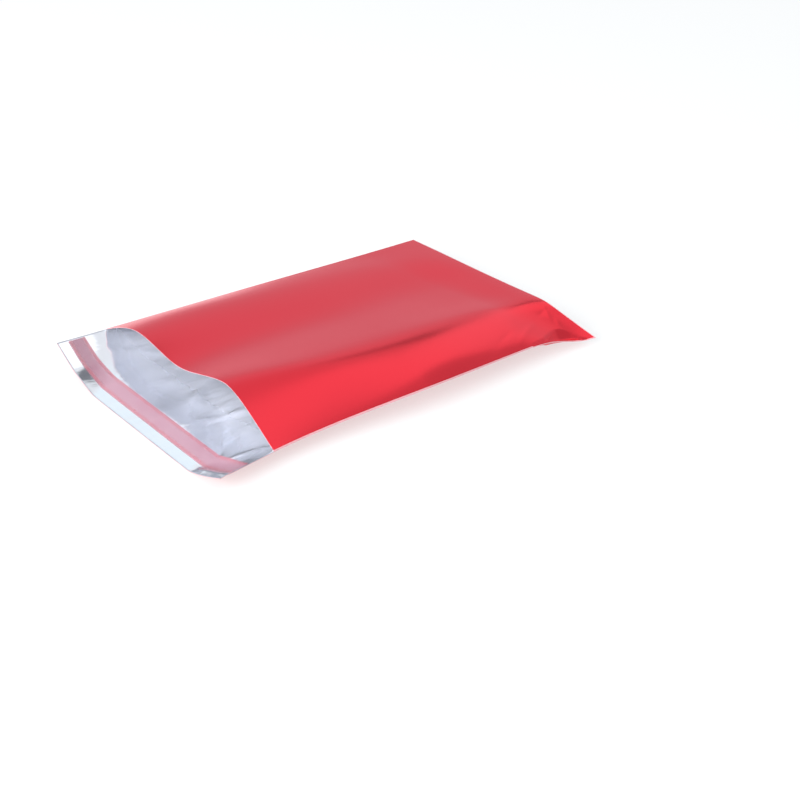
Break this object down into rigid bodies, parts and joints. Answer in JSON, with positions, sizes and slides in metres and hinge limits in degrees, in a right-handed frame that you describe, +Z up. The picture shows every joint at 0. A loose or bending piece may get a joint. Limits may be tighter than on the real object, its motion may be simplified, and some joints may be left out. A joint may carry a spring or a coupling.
{
  "type": "gift pouch",
  "caption": "Metallised film gift pouch lying open on its back, with a gaping mouth, welded side seams and a peel-and-seal flap.",
  "frame": {"origin": "under the middle of the pouch's bounding box, on the surface that it lies on", "axes": "+Y from the flap to the base fold, +X across to the side seam with the larger dog-ear, +Z up"},
  "size_m": [0.1656, 0.2602, 0.0262],
  "materials": {
    "film": "satin metallic red outside, silver inside",
    "adhesive": "clear tacky band",
    "liner": "see-through pink film"
  },
  "bodies": {
    "root": {"pouch_film": "film", "adhesive_strip": "adhesive", "release_liner": "liner"}
  },
  "joints": []
}
